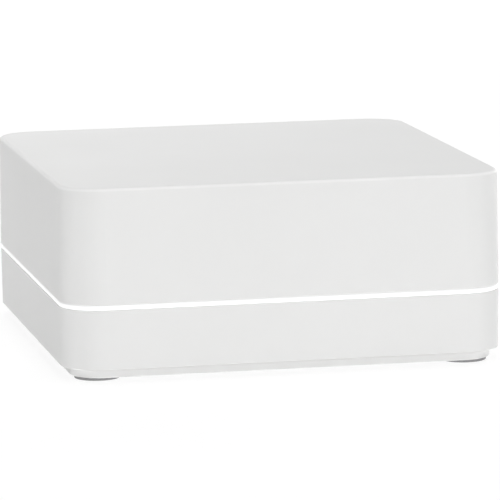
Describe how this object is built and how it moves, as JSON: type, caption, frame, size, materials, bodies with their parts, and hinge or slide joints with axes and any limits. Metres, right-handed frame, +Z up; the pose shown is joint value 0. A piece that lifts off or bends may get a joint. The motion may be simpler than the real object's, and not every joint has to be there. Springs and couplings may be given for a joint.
{
  "type": "smart hub",
  "caption": "Low white box hub of two rounded shells with a light line between them, on a plinth with round feet, and sockets on its back.",
  "frame": {"origin": "centre of the footprint, on the surface that the feet stand on", "axes": "+X to the right seen from the front, +Y to the back where the sockets are, +Z up"},
  "size_m": [0.15, 0.1574, 0.0646],
  "materials": {
    "shell_white": "satin, fine moulded texture",
    "plinth_white": "satin, fine moulded texture",
    "button_white": "satin",
    "light_guide": "milky, lit from behind",
    "foot_rubber": "matt grey",
    "board_green": "solder mask over copper",
    "strip_white": "white solder mask",
    "diode_resin": "clear resin over phosphor",
    "jumper_film": "amber film",
    "socket_black": "moulded",
    "chip_black": "fine matt",
    "passive_brown": "matt with tinned ends",
    "shield_metal": "tinned, folded sheet",
    "contact_gold": "gold flash",
    "screw_steel": "zinc plated",
    "sink_metal": "extruded, sawn ends",
    "pad_grey": "soft",
    "cell_metal": "rolled",
    "capacitor_metal": "drawn can",
    "inductor_grey": "pressed powder",
    "antenna_film": "black film over copper",
    "lead_black": "smooth jacket",
    "cable_grey": "flat cable",
    "header_cream": "moulded",
    "plunger_red": "moulded"
  },
  "bodies": {
    "casing": {"upper_shell": "shell_white", "lower_shell": "shell_white", "light_ring": "light_guide", "base_plate": "plinth_white", "case_screws": "screw_steel", "main_board": "board_green", "board_screws": "screw_steel", "lan_shield": "shield_metal", "lan_insert": "socket_black", "lan_contacts": "contact_gold", "usb_shield": "shield_metal", "usb_tongue": "socket_black", "usb_contacts": "contact_gold", "inlet_body": "socket_black", "inlet_pin": "shield_metal", "inlet_leaf": "contact_gold", "pairing_switch": "chip_black", "reset_switch": "chip_black", "processor": "chip_black", "thermal_pad": "pad_grey", "heat_sink": "sink_metal", "memory_chips": "chip_black", "storage_chip": "chip_black", "network_chip": "chip_black", "clock_crystal": "cell_metal", "power_chip": "chip_black", "power_inductor": "inductor_grey", "input_capacitors": "capacitor_metal", "board_passives": "passive_brown", "coin_cell_holder": "socket_black", "coin_cell": "cell_metal", "corner_jumpers": "jumper_film", "strip_header": "header_cream", "strip_cable": "cable_grey", "foot_front_left": "foot_rubber", "foot_front_right": "foot_rubber", "foot_rear_left": "foot_rubber", "foot_rear_right": "foot_rubber", "light_strip_front": "strip_white", "diodes_front": "diode_resin", "light_strip_right": "strip_white", "diodes_right": "diode_resin", "light_strip_rear": "strip_white", "diodes_rear": "diode_resin", "light_strip_left": "strip_white", "diodes_left": "diode_resin", "radio_board_left": "board_green", "radio_chip_left": "chip_black", "radio_shield_left": "shield_metal", "antenna_left": "antenna_film", "antenna_lead_left": "lead_black", "radio_board_right": "board_green", "radio_chip_right": "chip_black", "radio_shield_right": "shield_metal", "antenna_right": "antenna_film", "antenna_lead_right": "lead_black"},
    "pairing_button": {"pairing_button": "button_white", "pairing_plunger": "plunger_red"},
    "reset_plunger": {"reset_plunger": "plunger_red"}
  },
  "joints": [
    {"name": "pairing_press", "type": "slide", "parent": "casing", "child": "pairing_button", "axis": [0, -1, 0], "range_m": [0, 0.00035], "stiffness_N_per_m": 2000},
    {"name": "reset_press", "type": "slide", "parent": "casing", "child": "reset_plunger", "axis": [0, -1, 0], "range_m": [0, 0.00025], "stiffness_N_per_m": 2000}
  ]
}
